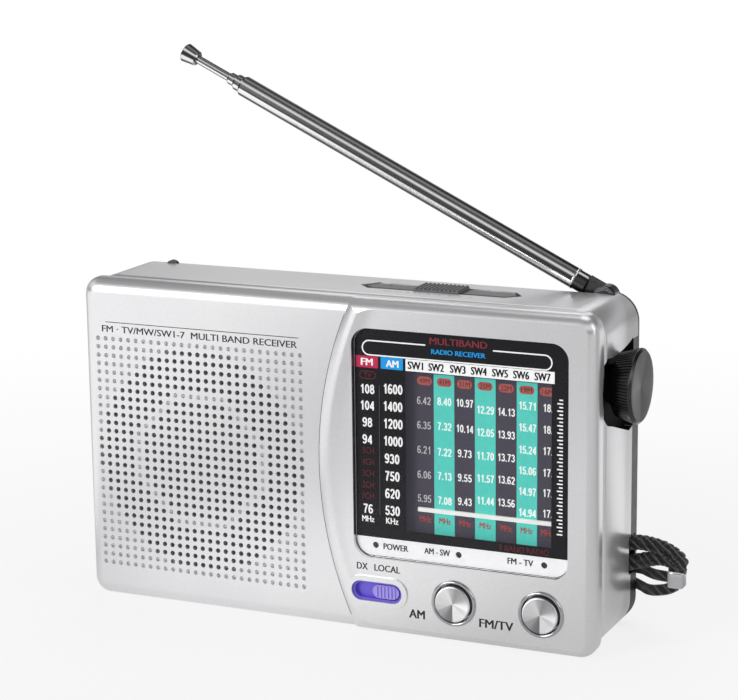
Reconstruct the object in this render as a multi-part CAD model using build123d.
from build123d import *
import math
import os

# Pocket shortwave receiver, all sizes in millimetres.
# Frame: +Z up, +X to the listener's right, the front faces -Y.
# Origin: centre of the bottom face the receiver stands on.

os.makedirs("parts", exist_ok=True)

# ---- driving dimensions -------------------------------------------------
W = 126.0                 # case width
HALF_W = W / 2
H = 76.4                  # case height
Y_FRONT = -14.75          # front face around the speaker grille
DIAL_RISE = 0.8           # the dial part stands proud of the grille part
DIAL_FACE = Y_FRONT - DIAL_RISE
SEAM_1 = -9.9             # front shell to middle shell
SEAM_2 = 9.65             # middle shell to back shell
Y_BACK = 14.75            # back face
WALL = 1.8
Y_IN = -12.75             # inner face of the front wall
Y_INB = 12.75             # inner face of the back wall
OUT_FRONT, OUT_BACK = -20, 20   # y clear of the case, for cutters
OUT_LEFT, OUT_RIGHT = -70, 70   # x clear of the case
OUT_TOP = 80                    # z clear of the case

SPEAKER_X, SPEAKER_Z = -32.8, 35.4
SPEAKER_FIXINGS = (45, -45, 135)    # degrees round the speaker axis

# tuning drive: knob, cord pulleys and gear pair
KNOB_Y, KNOB_Z = -1.3, 58.9
DRUM_R = 3.08             # cord centreline radius on drum and idler
IDLER_Z = 14.0
CORD_X = 56.0
CORD_R = 0.38
CORD_FRONT_Y = KNOB_Y - DRUM_R
CORD_BACK_Y = KNOB_Y + DRUM_R
GEAR_MODULE = 0.5
PINION_TEETH, GEAR_TEETH = 12, 36
CAPACITOR_Z = KNOB_Z - GEAR_MODULE * (PINION_TEETH + GEAR_TEETH) / 2

# dial
LENS_X0, LENS_X1, LENS_Z0, LENS_Z1 = 6.2, 56.8, 17.6, 70.0
LAMP_XS = (11.5, 31.5, 51.5)
LAMP_Z = 20.7
POINTER_Z = 29.2
GUIDE_X, GUIDE_Y = 57.0, -9.0       # pointer guide rod

# switches on the front
BUTTONS = {"am": 30.3, "fm": 50.8}  # name: x
BUTTON_Z = 9.4
DX_X, DX_Z = 11.75, 9.8

# controls and sockets on the left side
VOLUME_X, VOLUME_Z = -56.0, 55.0
WHEEL_Y0, WHEEL_Y1 = 5.9, 9.1
PHONE_Y, PHONE_Z = 3.2, 36.0
DC_Y, DC_Z = 3.6, 22.0

# battery bay
BAY_X0, BAY_X1, BAY_Z0, BAY_Z1 = -3.6, 52.3, 2.9, 32.5

SCREWS = [(-57.5, 5.5), (-58.0, 68.3), (57.5, 5.5), (44.0, 68.0)]   # x, z
STRAP_PIN_X, STRAP_PIN_Y = 59.9, 10.3

# antenna
PIVOT_X, PIVOT_Y, PIVOT_Z = 55.7, 12.2, 75.3
ANTENNA_DEG = 26.08       # antenna above horizontal
BRACKET_X0, BRACKET_X1, BRACKET_Z0 = 53.2, 58.2, 66.0
CLIP_X0, CLIP_X1 = -53.3, -50.0


# ---- helpers ------------------------------------------------------------
def block(x0, x1, y0, y1, z0, z1):
    return Pos((x0 + x1) / 2, (y0 + y1) / 2, (z0 + z1) / 2) * Box(x1 - x0, y1 - y0, z1 - z0)


def rod_x(x0, x1, y, z, radius):
    return Pos((x0 + x1) / 2, y, z) * Rot(0, 90, 0) * Cylinder(radius, x1 - x0)


def rod_y(y0, y1, x, z, radius):
    return Pos(x, (y0 + y1) / 2, z) * Rot(90, 0, 0) * Cylinder(radius, y1 - y0)


def rod_z(z0, z1, x, y, radius):
    return Pos(x, y, (z0 + z1) / 2) * Cylinder(radius, z1 - z0)


def plate(x0, x1, z0, z1, corner, y0, y1):
    """Rounded rectangle in the XZ plane, from y0 to y1."""
    plane = Plane(origin=((x0 + x1) / 2, y0, (z0 + z1) / 2), x_dir=(1, 0, 0), z_dir=(0, 1, 0))
    sketch = plane * RectangleRounded(x1 - x0, z1 - z0, corner)
    return extrude(sketch, amount=y1 - y0, dir=(0, 1, 0))


def stadium(x, z, length, width, y0, y1):
    """Round-ended slot shape along X, from y0 to y1."""
    return plate(x - length / 2, x + length / 2, z - width / 2, z + width / 2,
                 width / 2 - 0.01, y0, y1)


def prism_xy(points, z0, z1):
    face = make_face(Polyline(*[(x, y, z0) for x, y in points], close=True))
    return extrude(face, amount=z1 - z0, dir=(0, 0, 1))


def prism_yz(points, x0, x1):
    face = make_face(Polyline(*[(x0, y, z) for y, z in points], close=True))
    return extrude(face, amount=x1 - x0, dir=(1, 0, 0))


def prism_xz(points, y0, y1):
    face = make_face(Polyline(*[(x, y0, z) for x, z in points], close=True))
    return extrude(face, amount=y1 - y0, dir=(0, 1, 0))


def ribbed_outline(count, profile, centre_u, centre_v):
    """Ribbed circle. The profile of one rib is (fraction of the pitch, radius) pairs."""
    points = []
    for i in range(count):
        for fraction, radius in profile:
            angle = 2 * math.pi * (i + fraction) / count
            points.append((centre_u + radius * math.cos(angle),
                           centre_v + radius * math.sin(angle)))
    return points


def edges_at_y(shape, y, tol=0.02):
    """Edges that lie wholly in the plane at y."""
    found = []
    for edge in shape.edges():
        bounds = edge.bounding_box()
        if abs(bounds.min.Y - y) < tol and abs(bounds.max.Y - y) < tol:
            found.append(edge)
    return found


def one(shape):
    """The largest solid of a result."""
    return max(shape.solids(), key=lambda solid: solid.volume)


def write(name, shape):
    shape.label = name
    export_step(shape, "parts/%s.step" % name)


def save(name, shape):
    """Write a piece that is a single solid."""
    write(name, one(shape))


def save_group(name, items):
    """Write several loose pieces of one kind to one file."""
    write(name, Compound([solid for item in items for solid in item.solids()]))


# ---- cutters shared by the shells ---------------------------------------
# side recess round the tuning knob: y, z
RECESS = [
    (-8.3, 66.0), (-9.7, 64.3), (-10.8, 61.9), (-11.25, 58.9), (-10.9, 56.2), (-10.0, 53.8),
    (-8.7, 51.7), (-7.6, 51.0), (-4.5, 50.2), (1.5, 48.3), (6.9, 46.6), (12.0, 47.6),
    (12.0, 68.2), (9.7, 67.4), (7.0, 66.6), (2.8, 65.9), (-1.3, 65.6), (-5.3, 65.6),
]


def knob_recess(x0, y0, y1):
    return prism_yz(RECESS, x0, OUT_RIGHT) & block(60.0, 71, y0, y1, 40, 75)


def strap_opening():
    return block(57.4, 66, 8.0, 12.6, 12.8, 21.6)


# ---- front_cabinet ------------------------------------------------------
# round the dial part's left edge: a crisp step and a low bead, swept about a far axis
RAMP_X, RAMP_Z, RAMP_R = 85.7, 38.9, 88.4

GRILLE_PITCH = 2.0
GRILLE_X0, GRILLE_Z0 = -58.8, 62.4      # top left hole
GRILLE_COLUMNS, GRILLE_ROWS = 27, 28
# row: runs of open holes as (first column, last column); rows 14 to 26 mirror these
OPEN_RUNS = {
    1: [(9, 17)], 2: [(7, 19)], 3: [(6, 20)], 4: [(5, 21)], 5: [(4, 22)],
    6: [(3, 9), (17, 23)], 7: [(2, 8), (10, 16), (18, 24)], 8: [(2, 7), (9, 17), (19, 24)],
    9: [(1, 6), (8, 18), (20, 25)], 10: [(1, 5), (7, 19), (21, 25)],
    11: [(1, 4), (6, 20), (22, 25)], 12: [(0, 4), (6, 20), (22, 26)],
    13: [(0, 4), (6, 20), (22, 26)],
}


def front_blank(y0, rounding):
    blank = plate(-HALF_W, HALF_W, 0, H, 4.0, y0, SEAM_1)
    return fillet(edges_at_y(blank, y0), rounding)


def dial_dome():
    """Disc about the far axis that bounds the proud dial part."""
    left = RAMP_X - RAMP_R
    start = (left + 0.2, Y_FRONT + 0.02, RAMP_Z)
    end = (left + 7.0, DIAL_FACE, RAMP_Z)
    ramp = Spline(start, (left + 1.3, DIAL_FACE + 0.12, RAMP_Z),
                  (left + 2.6, DIAL_FACE - 0.24, RAMP_Z), end,
                  tangents=((1, -0.75, 0), (1, 0, 0)))
    rest = Polyline(end, (RAMP_X, DIAL_FACE, RAMP_Z), (RAMP_X, SEAM_1 + 1, RAMP_Z),
                    (left + 0.2, SEAM_1 + 1, RAMP_Z), start)
    face = make_face(Wire([ramp.edge()] + list(rest.edges())))
    return revolve(face, Axis((RAMP_X, 0, RAMP_Z), (0, 1, 0)), 360)


def grille_cutters():
    """Open holes over the speaker, blind dimples around them."""
    cutters = []
    for row in range(GRILLE_ROWS):
        runs = OPEN_RUNS.get(min(row, GRILLE_ROWS - 1 - row), [])
        for column in range(GRILLE_COLUMNS):
            x = GRILLE_X0 + GRILLE_PITCH * column
            z = GRILLE_Z0 - GRILLE_PITCH * row
            if any(first <= column <= last for first, last in runs):
                y = (Y_FRONT + Y_IN) / 2
                cone = Cone(0.46, 0.58, Y_IN - Y_FRONT + 0.4)
            else:
                y = Y_FRONT + 0.3
                cone = Cone(0.36, 0.58, 1.0)
            cutters.append(Pos(x, y, z) * Rot(90, 0, 0) * cone)
    return cutters


def front_cabinet():
    base = front_blank(Y_FRONT, 3.2)
    proud = front_blank(DIAL_FACE - 0.3, 3.4)
    front = one(base + (proud & dial_dome()))
    # rolled edge at the seam; a chamfer stands in if the kernel can't build the fillet
    try:
        front = fillet(edges_at_y(front, SEAM_1), 0.7)
    except Exception:
        front = chamfer(edges_at_y(front, SEAM_1), 0.4)
    front -= plate(-HALF_W + WALL, HALF_W - WALL, WALL, H - WALL, 2.4, Y_IN, SEAM_1 + 1)
    # rim around the DX/LOCAL slot
    front += stadium(DX_X, DX_Z, 14.8, 7.0, DIAL_FACE - 0.4, Y_IN)
    front -= stadium(DX_X, DX_Z, 12.3, 4.6, OUT_FRONT, Y_IN + 1)
    # lens seat, dial window and lamp holes
    gap = 0.05
    front -= plate(LENS_X0 - gap, LENS_X1 + gap, LENS_Z0 - gap, LENS_Z1 + gap,
                   3.9, OUT_FRONT, -14.05)
    front -= block(17.6, 54.6, OUT_FRONT, -12, 23.6, 62.2)
    for x in LAMP_XS:
        front -= rod_y(OUT_FRONT, -12, x, LAMP_Z, 1.3)
    # bosses for the case screws, guide rod, scale plate and speaker
    root = Y_IN - 0.2
    for x, z in SCREWS:
        front += rod_y(root, 3.0, x, z, 2.6)
        front -= rod_y(-9.0, 4.0, x, z, 1.05)
    for z in (10.3, 66.0):
        front += block(GUIDE_X - 1.5, GUIDE_X + 1.5, root, -7.6, z, z + 2.4)
        front -= rod_z(z - 1, z + 3.4, GUIDE_X, GUIDE_Y, 0.77)
    for x, z in ((15.6, 24.0), (15.6, 62.0), (53.0, 22.9), (53.0, 63.0)):
        front += block(x - 0.7, x + 0.7, root, -11.8, z - 0.35, z + 0.35)
    for degrees in SPEAKER_FIXINGS:
        angle = math.radians(degrees)
        front += rod_y(root, -11.9, SPEAKER_X + 30.8 * math.cos(angle),
                       SPEAKER_Z + 30.8 * math.sin(angle), 1.7)
    for x in BUTTONS.values():
        front -= rod_y(OUT_FRONT, -12.4, x, BUTTON_Z, 5.32)
    # the knob recess just reaches into this shell
    front -= knob_recess(62.15, -13, SEAM_1 + 0.5)
    return one(front).cut(*grille_cutters())


save("front_cabinet", front_cabinet())

# ---- rear_cabinet (middle shell) ----------------------------------------
MID_CORNER = 6.6
BAND_Y0, BAND_Y1 = -2.7, 4.4        # band selector opening
# upper right corner of the middle shell, which reaches back over the back shell
CORNER_X, CORNER_Y1, CORNER_Z0 = 58.35, 12.7, 66.9


def rear_cabinet():
    mid = plate(-HALF_W, HALF_W, 0, H, MID_CORNER, SEAM_1, SEAM_2)
    mid = fillet(edges_at_y(mid, SEAM_1), 1.6)
    mid = fillet(edges_at_y(mid, SEAM_2), 0.35)
    mid -= plate(-HALF_W + WALL, HALF_W - WALL, WALL, H - WALL, 4.8, SEAM_1 - 1, SEAM_2 + 1)
    # thick wall behind the tuning knob, then the scooped recess and bush hole
    mid += block(58.7, 61.6, SEAM_1 + 0.02, SEAM_2, 45.5, 70.5)
    mid -= knob_recess(60.9, SEAM_1 - 0.5, 13)
    mid -= rod_x(58, 62, KNOB_Y, KNOB_Z, 3.22)
    # boss and pin for the lower cord pulley
    mid += rod_x(57.6, 61.6, KNOB_Y, IDLER_Z, 2.6)
    mid += rod_x(54.4, 58.0, KNOB_Y, IDLER_Z, 1.0)
    # band selector opening, boat shaped
    mid -= prism_xy([(1.4, 0.2), (4.4, BAND_Y0), (37.4, BAND_Y0), (40.4, 0.2),
                     (37.4, BAND_Y1), (4.4, BAND_Y1)], 74, 78)
    # antenna clip notch, strap opening, volume wheel slot, jack holes
    mid -= block(CLIP_X0 - 0.1, CLIP_X1 + 0.1, 8.5, 12, 72, 78)
    mid -= strap_opening()
    mid -= block(OUT_LEFT, -60, WHEEL_Y0 - 0.3, WHEEL_Y1 + 0.3, VOLUME_Z - 8.8, VOLUME_Z + 8.8)
    mid -= rod_x(OUT_LEFT, -60, PHONE_Y, PHONE_Z, 2.6)
    mid -= rod_x(OUT_LEFT, -60, DC_Y, DC_Z, 3.6)
    y0 = SEAM_2 - 0.4
    mid += (plate(-HALF_W, HALF_W, 0, H, MID_CORNER, y0, CORNER_Y1)
            & block(CORNER_X, OUT_RIGHT, y0, CORNER_Y1, CORNER_Z0, OUT_TOP))
    return mid


save("rear_cabinet", rear_cabinet())

# ---- back_cover ---------------------------------------------------------
BACK_INSET = 0.05         # the back shell is this much smaller all round
BACK_WALL = 2.2
CAVITY_TOP = 70.9
CHANNEL_Z = 72.5          # floor of the antenna channel


def antenna_cutters():
    """Channel for the stowed antenna and pocket for its bracket."""
    channel = block(OUT_LEFT, 58.4, SEAM_2, OUT_BACK, CHANNEL_Z, OUT_TOP)
    pocket = block(BRACKET_X0 - 0.1, BRACKET_X1 + 0.1, 9.9, 14.5, BRACKET_Z0 - 0.1, OUT_TOP)
    return channel, pocket


def back_cover():
    side = HALF_W - BACK_INSET
    back = plate(-side, side, 0, H - BACK_INSET, 6.5, SEAM_2, Y_BACK)
    back = fillet(edges_at_y(back, Y_BACK), 1.3)
    back -= plate(-side + BACK_WALL, side - BACK_WALL, BACK_WALL, CAVITY_TOP,
                  4.0, SEAM_2 - 1, Y_INB)
    channel, pocket = antenna_cutters()
    back -= block(OUT_LEFT, 58.4, SEAM_2 - 1, OUT_BACK, CHANNEL_Z, OUT_TOP)
    back -= pocket
    # battery bay, open to the back, and the ledge that the door sits on
    back += block(BAY_X0 - 0.9, BAY_X1 + 1.0, -2.4, Y_INB + 0.1, BAY_Z0 - 0.7, BAY_Z1 + 0.8)
    back -= block(BAY_X0, BAY_X1, -1.95, OUT_BACK, BAY_Z0, BAY_Z1)
    back -= block(BAY_X0 - 1.2, BAY_X1 + 1.2, 13.4, OUT_BACK, BAY_Z0 - 0.9, BAY_Z1 + 1.2)
    for x, z in SCREWS:
        back += rod_y(3.05, Y_INB + 0.1, x, z, 2.9)
        back -= rod_y(3.0, OUT_BACK, x, z, 1.3)
        back -= rod_y(12.9, OUT_BACK, x, z, 3.0)
    # strap opening, its pin and the pin's seats
    back -= strap_opening()
    for z in (10.6, 21.6):
        back += block(58.6, 61.2, 9.75, 12.9, z, z + 2.2)
    back += rod_z(11.3, 23.1, STRAP_PIN_X, STRAP_PIN_Y, 0.9)
    # upstand that closes the antenna channel under the middle shell's top
    inside = HALF_W - WALL - 0.1
    back += (block(-60.4, 58.6, 8.75, SEAM_2 + 0.5, CAVITY_TOP, 74.5)
             & plate(-inside, inside, WALL, H - WALL - 0.1, 4.7, 8, 12))
    back -= block(CLIP_X0 - 0.05, CLIP_X1 + 0.05, 8.3, 9.65, 70.4, OUT_TOP)
    back -= channel
    back -= pocket
    back -= block(CORNER_X - 0.05, OUT_RIGHT, 8.5, CORNER_Y1 + 0.05, CORNER_Z0 - 0.05, OUT_TOP)
    return back


save("back_cover", back_cover())

# ---- battery door: two grooves outside, two tabs at the lower edge ------
save("battery_door", plate(BAY_X0 - 1.0, BAY_X1 + 1.0, BAY_Z0 - 0.7, BAY_Z1 + 1.0,
                           1.0, 13.45, Y_BACK)
     - block(18, 32, 14.35, 15, 27.5, 28.5) - block(20, 30, 14.35, 15, 29.3, 30.3)
     + block(12, 16, 12.5, 13.5, 3.1, 4.3) + block(33, 37, 12.5, 13.5, 3.1, 4.3))

# ---- cells and contacts -------------------------------------------------
CELL_Y = 5.25
CELLS = ((10.25, 1), (25.0, -1))    # z, x direction from spring to contact plate
COILS = ((0.75, 4.0), (1.85, 3.6), (2.95, 3.2), (4.0, 2.8))     # distance, ring radius
CONTACT_HALF = 4.5                  # half the side of a square contact


def bay_span(way, near, far):
    """Two distances from the spring end of the bay, as ascending x values."""
    start = BAY_X0 if way > 0 else BAY_X1
    return sorted((start + way * near, start + way * far))


def contact_square(way, near, far, z):
    return block(*bay_span(way, near, far), CELL_Y - CONTACT_HALF, CELL_Y + CONTACT_HALF,
                 z - CONTACT_HALF, z + CONTACT_HALF)


def contact_spring(way, z):
    """Stacked rings on a square base, joined by short struts."""
    start = BAY_X0 if way > 0 else BAY_X1
    spring = contact_square(way, 0, 0.4, z)
    for i, (distance, radius) in enumerate(COILS):
        spring += (Pos(start + way * distance, CELL_Y, z) * Rot(0, 90, 0)
                   * Torus(radius, 0.42))
        angle = math.radians(90 * i)
        spring += rod_x(*bay_span(way, distance - 0.7, distance),
                        CELL_Y + radius * math.cos(angle), z + radius * math.sin(angle), 0.4)
    return one(spring)


contacts = []
for number, (z, way) in enumerate(CELLS, 1):
    save("cell_%d" % number, rod_x(*bay_span(way, 4.8, 53.8), CELL_Y, z, 7.1)
         + rod_x(*bay_span(way, 53.7, 55.3), CELL_Y, z, 2.7))
    contacts += [contact_spring(way, z), contact_square(way, 55.4, 55.85, z)]
save_group("battery_contacts", contacts)

# ---- dial: lens, plate, lamps, pointer ----------------------------------
LENS_FACE = DIAL_FACE - 0.08
lens = plate(LENS_X0, LENS_X1, LENS_Z0, LENS_Z1, 3.85, LENS_FACE, -14.08)
save("dial_lens", chamfer(edges_at_y(lens, LENS_FACE), 0.35))
save("scale_plate", block(14.6, 55.1, -11.78, -11.3, 22.5, 63.4))


def lamp(x):
    """Lens, flange and two leads."""
    body = rod_y(-13.7, -9.2, x, LAMP_Z, 1.15) + rod_y(-9.4, -8.6, x, LAMP_Z, 1.5)
    for lead_x in (x - 0.6, x + 0.6):
        body += rod_y(-8.7, -4.22, lead_x, LAMP_Z, 0.22)
    return one(body)


save_group("indicator_lamps", [lamp(x) for x in LAMP_XS])


def dial_pointer():
    """Needle, carriage on the guide rod and clamp on the front run of the cord."""
    pointer = block(20.6, 57.6, -12.6, -12.05, POINTER_Z - 0.45, POINTER_Z + 0.45)
    pointer += block(55.6, 58.2, -12.6, -9.6, POINTER_Z - 1.6, POINTER_Z + 1.4)
    pointer += block(55.5, 58.5, -10.5, -7.4, 20.5, 30.6)
    pointer += block(55.2, 56.8, -7.5, -3.6, 23.0, 26.0)
    pointer -= rod_z(15, 40, GUIDE_X, GUIDE_Y, 0.80)
    pointer -= rod_z(15, 40, CORD_X, CORD_FRONT_Y, 0.45)
    return pointer


save("dial_pointer", dial_pointer())
save("pointer_guide_rod", rod_z(9.6, 69.0, GUIDE_X, GUIDE_Y, 0.75))

# ---- tuning drive -------------------------------------------------------
SHAFT_R = 2.0
KNOB_R = 8.35             # grip radius at the outer end
KNOB_X0, KNOB_X1 = 61.4, 68.6


def involute_gear(module, teeth, x0, x1, yc, zc, tooth_at_deg, backlash=0.06, steps=7):
    """Spur gear along X with one tooth centred at tooth_at_deg."""
    pitch_r = module * teeth / 2
    tip_r = pitch_r + module
    root_r = pitch_r - 1.25 * module
    pressure = math.radians(20)
    base_r = pitch_r * math.cos(pressure)
    half_tooth = math.pi / (2 * teeth) - backlash / (2 * pitch_r)

    def involute(angle):
        return math.tan(angle) - angle

    # one flank: radius, half the tooth angle there
    start_r = max(base_r, root_r)
    flank = []
    for i in range(steps + 1):
        r = start_r + (tip_r - start_r) * i / steps
        angle = math.acos(min(1.0, base_r / r))
        flank.append((r, half_tooth + involute(pressure) - involute(angle)))
    if root_r < base_r:
        flank.insert(0, (root_r, flank[0][1]))
    points = []
    for tooth in range(teeth):
        centre = math.radians(tooth_at_deg) + 2 * math.pi * tooth / teeth
        for side, stations in ((-1, flank), (1, flank[::-1])):
            for r, half in stations:
                angle = centre + side * half
                points.append((yc + r * math.cos(angle), zc + r * math.sin(angle)))
    return prism_yz(points, x0, x1)


def knob_section(x, radius):
    profile = ((-0.30, radius), (0.12, radius), (0.30, radius - 0.28), (0.50, radius - 0.28))
    outline = ribbed_outline(72, profile, KNOB_Y, KNOB_Z)
    return make_face(Polyline(*[(x, y, z) for y, z in outline], close=True))


def knob_cone(x, inner_r, outer_r, length):
    return Pos(x, KNOB_Y, KNOB_Z) * Rot(0, 90, 0) * Cone(inner_r, outer_r, length)


def tuning_knob():
    """Tapered barrel with grip ribs, on a narrow hub, with a dished end."""
    knob = loft([knob_section(63.6, 7.05), knob_section(67.9, KNOB_R)], ruled=True)
    knob += knob_cone(63.42, 6.4, 6.75, 0.4)
    knob += rod_x(KNOB_X0, 63.3, KNOB_Y, KNOB_Z, 4.4)
    cap = rod_x(67.85, KNOB_X1, KNOB_Y, KNOB_Z, KNOB_R - 0.05)
    outer_rim = [edge for edge in cap.edges()
                 if abs(edge.center().X - KNOB_X1) < 0.01 and edge.length > 20]
    knob += chamfer(outer_rim, 0.5)
    knob -= knob_cone(KNOB_X1 - 0.15, 0.2, KNOB_R - 1.1, 0.5)
    knob -= rod_x(60, 66.0, KNOB_Y, KNOB_Z, SHAFT_R + 0.02)
    return knob


save("tuning_knob", tuning_knob())
save("tuning_shaft", rod_x(46.9, 65.9, KNOB_Y, KNOB_Z, SHAFT_R)
     + involute_gear(GEAR_MODULE, PINION_TEETH, 50.5, 53.0, KNOB_Y, KNOB_Z, -90))
save("shaft_bush", rod_x(58.0, 60.85, KNOB_Y, KNOB_Z, 3.2)
     + rod_x(57.7, 58.6, KNOB_Y, KNOB_Z, 4.1) - rod_x(57, 62, KNOB_Y, KNOB_Z, SHAFT_R + 0.05))


def pulley(z, flange_r, bore_r):
    x0, x1 = CORD_X - 1.4, CORD_X + 1.4
    return (rod_x(x0, x1, KNOB_Y, z, DRUM_R - 0.45) + rod_x(x0, x0 + 0.6, KNOB_Y, z, flange_r)
            + rod_x(x1 - 0.6, x1, KNOB_Y, z, flange_r) - rod_x(54, 58, KNOB_Y, z, bore_r))


save("cord_drum", pulley(KNOB_Z, 4.2, SHAFT_R + 0.01))
save("cord_idler", pulley(IDLER_Z, 3.8, 1.05))


def cord_bend(z, z0, z1):
    """The half ring round the pulley at z that lies between z0 and z1."""
    ring = Pos(CORD_X, KNOB_Y, z) * Rot(0, 90, 0) * Torus(DRUM_R, CORD_R)
    return ring & block(50, 60, -20, 20, z0, z1)


# one closed run over the drum and the idler
cord = (rod_z(IDLER_Z, KNOB_Z, CORD_X, CORD_FRONT_Y, CORD_R)
        + rod_z(IDLER_Z, KNOB_Z, CORD_X, CORD_BACK_Y, CORD_R))
cord += cord_bend(KNOB_Z, KNOB_Z, 80) + cord_bend(IDLER_Z, 0, IDLER_Z)
save("dial_cord", cord)

# bracket plate that carries the tuning capacitor, then its body and gear
save("tuning_bracket", block(47.6, 48.6, -9.4, 8.2, 38.2, 63.4)
     + block(47.6, 58.6, 5.0, 8.2, 62.4, 63.4)
     - rod_x(47, 49, KNOB_Y, KNOB_Z, SHAFT_R + 0.05) - rod_x(47, 49, KNOB_Y, CAPACITOR_Z, 3.0))
save("tuning_capacitor", block(36.4, 47.5, -9.4, 7.2, 38.4, 55.3)
     + rod_x(47.4, 48.5, KNOB_Y, CAPACITOR_Z, 2.9) - rod_x(40, 49, KNOB_Y, CAPACITOR_Z, 1.55))


def capacitor_gear():
    """Gear with hub, spindle and six lightening holes; a tooth gap faces the pinion."""
    gear = involute_gear(GEAR_MODULE, GEAR_TEETH, 50.7, 52.8, KNOB_Y, CAPACITOR_Z,
                         90 + 180.0 / GEAR_TEETH)
    gear += rod_x(49.3, 50.8, KNOB_Y, CAPACITOR_Z, 3.0)
    gear += rod_x(40.5, 53.4, KNOB_Y, CAPACITOR_Z, 1.5)
    for i in range(6):
        angle = math.radians(60 * i + 30)
        gear -= rod_x(50, 54, KNOB_Y + 5.4 * math.cos(angle),
                      CAPACITOR_Z + 5.4 * math.sin(angle), 1.5)
    return gear


save("capacitor_gear", capacitor_gear())

# ---- band selector ------------------------------------------------------
save("band_slot_plate", prism_xy([(4.7, -1.25), (37.1, -1.25), (38.9, 0.6), (37.1, 4.3),
                                  (4.7, 4.3), (2.9, 0.6)], 74.05, 76.2))


def band_slider():
    """Ridged thumb piece with a tongue down into the switch."""
    x0, x1 = 15.5, 26.4
    base_z, valley_z, ridge_z = 76.25, 76.75, 77.15
    ridges = 11
    pitch = (x1 - x0) / ridges
    points = [(x0, base_z)]
    for i in range(ridges):
        x = x0 + pitch * i
        points += [(x + 0.05, valley_z), (x + 0.30 * pitch, ridge_z),
                   (x + 0.62 * pitch, ridge_z), (x + 0.90 * pitch, valley_z)]
    points += [(x1, base_z)]
    return prism_xz(points, -2.55, 4.2) + block(18.6, 23.6, -2.45, -1.45, 70.6, 76.3)


save("band_slider", band_slider())
save("band_switch_body", block(2.0, 40.0, -4.2, 4.8, 68.2, 74.0)
     - block(6.8, 33.4, -2.6, -1.3, 70.2, 76))

# ---- DX/LOCAL switch ----------------------------------------------------
SWITCH_BACK = -4.25       # rear face of the switch bodies, just ahead of the board
PILL_X = 13.8
save("dx_switch_bezel", stadium(DX_X, DX_Z, 12.2, 4.5, -15.3, Y_IN)
     - stadium(DX_X, DX_Z, 11.2, 3.6, OUT_FRONT, -14.1)
     - block(10.65, 16.5, -16, -12, DX_Z - 0.65, DX_Z + 0.65))


def dx_slider():
    """Ribbed pill, stem and inner cross plate."""
    pill = stadium(PILL_X, DX_Z, 6.4, 3.1, -15.35, -14.15)
    rib = block(11.45, 11.85, -15.65, -15.3, 7, 13)
    ribs = rib
    for i in range(1, 6):
        ribs += Pos(0.86 * i, 0, 0) * rib
    pill += ribs & stadium(PILL_X, DX_Z, 6.0, 2.7, -15.7, -15.3)
    pill += block(14.95, 16.4, -14.3, -10.8, DX_Z - 0.55, DX_Z + 0.55)
    pill += block(8.5, 20.8, -12.7, -12.48, DX_Z - 1.1, DX_Z + 1.1)
    return pill


save("dx_slider", dx_slider())
save("dx_switch_body", block(6.6, 17.0, -12.4, SWITCH_BACK, DX_Z - 2.5, DX_Z + 2.5)
     - block(7.4, 16.6, -13, -10.0, DX_Z - 0.7, DX_Z + 0.7))

# ---- push buttons -------------------------------------------------------
RING_FACE, BUTTON_FACE = -16.0, -16.6


def button_ring(x):
    ring = rod_y(RING_FACE, Y_IN, x, BUTTON_Z, 5.3)
    ring = chamfer(edges_at_y(ring, RING_FACE), 0.45)
    return ring - rod_y(-17, -12, x, BUTTON_Z, 4.35)


def button(x):
    """Cap, retaining flange and stem."""
    cap = rod_y(BUTTON_FACE, -12.6, x, BUTTON_Z, 4.15)
    cap = chamfer(edges_at_y(cap, BUTTON_FACE), 0.25)
    cap += rod_y(-12.7, -11.7, x, BUTTON_Z, 4.8) + rod_y(-11.8, -7.6, x, BUTTON_Z, 1.5)
    return cap


def push_switch(x):
    return one(block(x - 3.5, x + 3.5, -8.6, SWITCH_BACK, BUTTON_Z - 3.5, BUTTON_Z + 3.5)
               - rod_y(-9, -5.4, x, BUTTON_Z, 1.6))


for name, x in BUTTONS.items():
    save(name + "_button_ring", button_ring(x))
    save(name + "_button", button(x))
save_group("push_switches", [push_switch(x) for x in BUTTONS.values()])

# ---- circuit board and what it carries ----------------------------------
BOARD_Y0, BOARD_Y1 = -4.2, -2.6
MOUNT_Y = BOARD_Y1 + 0.02           # underside of the parts on the board
save("main_pcb", block(-2.0, 53.4, BOARD_Y0, BOARD_Y1, 3.0, 34.0)
     + block(-2.0, 34.0, BOARD_Y0, BOARD_Y1, 33.9, 68.0))
save("receiver_ic", block(4, 24, MOUNT_Y, 1.2, 52.0, 58.4))
save_group("if_transformers", [
    one(block(x - 3.6, x + 3.6, MOUNT_Y, 5.6, 38.2, 45.4) - rod_y(4.6, 6, x, 41.8, 1.6))
    for x in (4.5, 14.5, 24.5)])
save_group("electrolytics", [rod_y(MOUNT_Y, 7.4, 29.5, z, 3.1) for z in (51.5, 60.0)])

# ---- ferrite aerial -----------------------------------------------------
FERRITE_Y, FERRITE_Z = 3.0, 67.4
FERRITE_R = 4.0
FERRITE_BORE = FERRITE_R + 0.04
save("ferrite_rod", rod_x(-52.0, -3.0, FERRITE_Y, FERRITE_Z, FERRITE_R))
save("ferrite_coil", rod_x(-31.0, -13.0, FERRITE_Y, FERRITE_Z, 4.9)
     - rod_x(-32, -12, FERRITE_Y, FERRITE_Z, FERRITE_BORE))
save("ferrite_holder", block(-48.0, -44.0, -2.6, 8.6, 61.8, 74.5)
     + block(-10.0, -6.0, -2.6, 8.6, 61.8, 74.5) + block(-45.0, -9.0, -2.6, 8.6, 73.2, 74.5)
     - rod_x(-60, 0, FERRITE_Y, FERRITE_Z, FERRITE_BORE))

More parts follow.
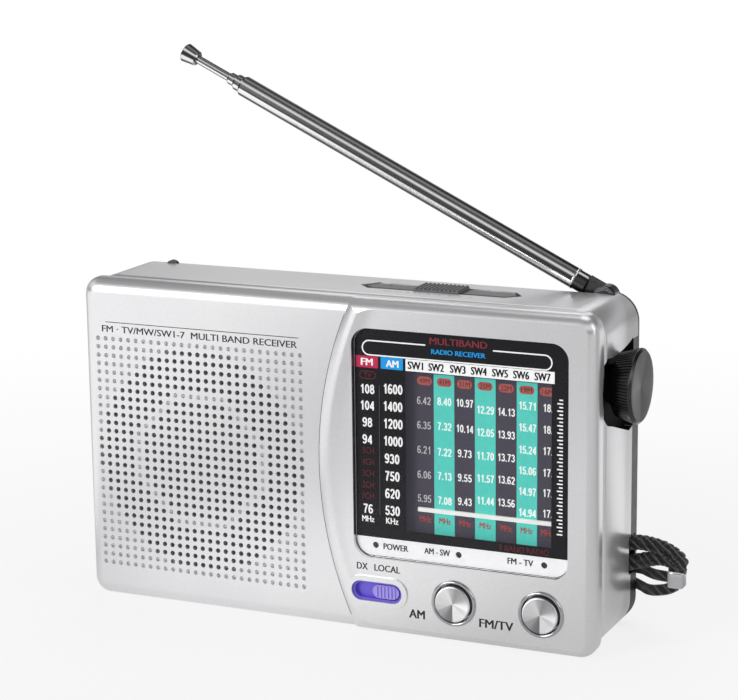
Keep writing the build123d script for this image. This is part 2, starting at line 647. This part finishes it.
# ---- loudspeaker --------------------------------------------------------
# half sections: radius, y
FRAME_SECTION = [
    (25.6, -12.7), (28.2, -12.7), (28.2, -11.9), (26.4, -11.9), (22.5, -5.0), (14.2, -1.0),
    (14.2, 0.0), (8.0, 0.0), (8.0, -1.0), (13.0, -1.9), (21.0, -5.7),
]
CONE_SECTION = [
    (24.4, -12.3), (24.4, -11.9), (20.5, -10.6), (7.6, -5.0), (7.6, -2.2), (7.2, -2.2),
    (7.2, -5.4), (20.2, -11.1), (22.6, -12.3),
]


def speaker_revolve(section):
    face = make_face(Polyline(*[(SPEAKER_X + r, y, SPEAKER_Z) for r, y in section], close=True))
    return revolve(face, Axis((SPEAKER_X, 0, SPEAKER_Z), (0, 1, 0)), 360)


save("speaker_frame", speaker_revolve(FRAME_SECTION))
save("speaker_magnet", rod_y(0.05, 6.2, SPEAKER_X, SPEAKER_Z, 13.0))
save("speaker_cone", speaker_revolve(CONE_SECTION))
save_group("speaker_clamps", [
    Pos(SPEAKER_X, -11.45, SPEAKER_Z) * Rot(0, -degrees, 0) * Pos(29.9, 0, 0) * Box(5.6, 0.8, 3.4)
    for degrees in SPEAKER_FIXINGS])

# ---- controls and sockets on the left side ------------------------------
WHEEL_PROFILE = ((-0.3, 8.2), (0.15, 8.2), (0.32, 7.9), (0.53, 7.9))
save("volume_wheel",
     prism_xz(ribbed_outline(40, WHEEL_PROFILE, VOLUME_X, VOLUME_Z), WHEEL_Y0, WHEEL_Y1)
     - rod_y(5, 10, VOLUME_X, VOLUME_Z, 1.55))
save("volume_pot", plate(-60.3, -50.5, 49.5, 60.5, 2.0, 9.3, 12.7)
     + rod_y(6.4, 9.4, VOLUME_X, VOLUME_Z, 1.5))


def jack(y, z, half_y, half_z, collar_x, collar_r, bore_x, bore_r):
    """Box with a round collar out to collar_x, bored in to bore_x."""
    body = block(-61.1, -49.5, y - half_y, y + half_y, z - half_z, z + half_z)
    body += rod_x(collar_x, -61.0, y, z, collar_r)
    return body - rod_x(-64, bore_x, y, z, bore_r)


save("earphone_jack", jack(PHONE_Y, PHONE_Z, 3.0, 3.0, -62.6, 2.5, -50.5, 1.75))
save("dc_jack", jack(DC_Y, DC_Z, 4.0, 4.5, -62.4, 3.5, -51.5, 2.75))


# ---- case screws --------------------------------------------------------
def case_screw(x, z):
    """Shank and cross-slotted head."""
    screw = rod_y(-8.2, 13.2, x, z, 1.0) + rod_y(12.95, 14.3, x, z, 2.8)
    for half_x, half_z in ((1.7, 0.25), (0.25, 1.7)):
        screw -= block(x - half_x, x + half_x, 13.7, 15, z - half_z, z + half_z)
    return one(screw)


save_group("case_screws", [case_screw(x, z) for x, z in SCREWS])


# ---- antenna ------------------------------------------------------------
def cheek(y):
    return (rod_y(y, y + 0.9, PIVOT_X, PIVOT_Z, 2.5)
            + block(BRACKET_X0, BRACKET_X1, y, y + 0.9, BRACKET_Z0, PIVOT_Z))


save("antenna_bracket", cheek(10.0) + cheek(13.5)
     + block(BRACKET_X0, BRACKET_X1, 10.0, 14.4, BRACKET_Z0, BRACKET_Z0 + 1.4)
     - rod_y(9, 16, PIVOT_X, PIVOT_Z, 0.93))
save("antenna_pivot_pin", rod_y(9.85, 14.55, PIVOT_X, PIVOT_Z, 0.9)
     + rod_y(14.42, 14.7, PIVOT_X, PIVOT_Z, 1.7) + rod_y(9.72, 9.98, PIVOT_X, PIVOT_Z, 1.6))


def save_raised(name, shape):
    """Antenna pieces are drawn pointing to -X from the pivot, then raised."""
    save(name, Pos(PIVOT_X, PIVOT_Y, PIVOT_Z) * Rot(0, ANTENNA_DEG, 0) * shape)


def length(start, end, radius):
    """Round bar between two distances from the pivot."""
    return Pos(-(start + end) / 2, 0, 0) * Rot(0, 90, 0) * Cylinder(radius, end - start)


def taper(start, end, start_r, end_r):
    return Pos(-(start + end) / 2, 0, 0) * Rot(0, -90, 0) * Cone(start_r, end_r, end - start)


lug = Rot(90, 0, 0) * Cylinder(2.6, 2.4)
lug += Pos(-2.6, 0, 0) * Box(5.2, 2.4, 4.4)
lug += length(5.0, 8.0, 2.3)
lug -= Rot(90, 0, 0) * Cylinder(0.95, 10)
save_raised("antenna_lug", lug)

# tubes, each ending in a rolled-in nose:
# start, nose start, end, radius, nose radius, bore start, bore radius
TUBES = [
    (8.0, 99.0, 99.5, 2.4, 2.05, 9.5, 1.95),
    (12.0, 100.9, 101.4, 1.9, 1.55, 11.0, 1.475),
    (15.0, 102.8, 103.2, 1.425, 1.12, 14.0, 1.025),
]
for number, (start, nose, end, radius, nose_r, bore, bore_r) in enumerate(TUBES, 1):
    save_raised("antenna_tube_%d" % number, length(start, nose, radius)
                + taper(nose, end, radius, nose_r) - length(bore, end + 1, bore_r))
save_raised("antenna_rod", length(24.0, 112.2, 0.975))

tip = taper(112.5, 115.7, 1.75, 2.25)
tip += taper(115.7, 116.0, 2.25, 2.0) + taper(112.2, 112.5, 1.45, 1.75)
tip -= length(112.0, 112.25, 1.0)
save_raised("antenna_tip", tip)

# clip post that holds the stowed antenna
save("antenna_clip", block(CLIP_X0, CLIP_X1, 8.6, 9.6, 70.5, 76.2)
     + rod_y(8.6, 9.6, (CLIP_X0 + CLIP_X1) / 2, 75.5, 1.65))

# ---- wrist strap --------------------------------------------------------
STRAP_LOOP_ZS = (19.6, 15.0)        # heights of the loops round the strap pin


def cord_run(points, radius):
    """Straight round lengths with a ball at the end of each."""
    run = None
    for start, end in zip(points, points[1:]):
        step = Vector(*end) - Vector(*start)
        piece = extrude(Plane(origin=start, z_dir=step) * Circle(radius), amount=step.length)
        piece += Pos(*end) * Sphere(radius)
        run = piece if run is None else run + piece
    return run


def strap_cord():
    upper_z, lower_z = STRAP_LOOP_ZS
    strap = cord_run([(62.6, 10.6, upper_z), (70.5, 9.6, 19.4), (74.6, 9.2, 17.8),
                      (74.9, 9.4, 16.4)], 1.3)
    strap += cord_run([(62.6, 10.6, lower_z), (70.0, 9.8, 16.2), (74.6, 9.3, 16.8)], 1.3)
    for z in STRAP_LOOP_ZS:
        strap += Pos(STRAP_PIN_X, STRAP_PIN_Y, z) * Torus(1.56, 0.6)
        strap += cord_run([(61.5, 10.3, z), (62.8, 10.6, z)], 0.9)
    return strap


save("strap_cord", strap_cord())
save("strap_crimp", fillet(block(71.8, 75.6, 7.6, 11.6, 10.9, 14.9).edges(), 0.5))
# webbing outline: x, y
WEBBING = [
    (71.75, 8.6), (66.0, 11.2), (63.6, 13.6), (62.6, 16.2), (60.5, 16.6), (60.5, 19.0),
    (63.8, 18.9), (66.2, 15.6), (68.0, 13.0), (71.75, 10.8),
]
save("strap_webbing", prism_xy(WEBBING, 8.6, 12.6))
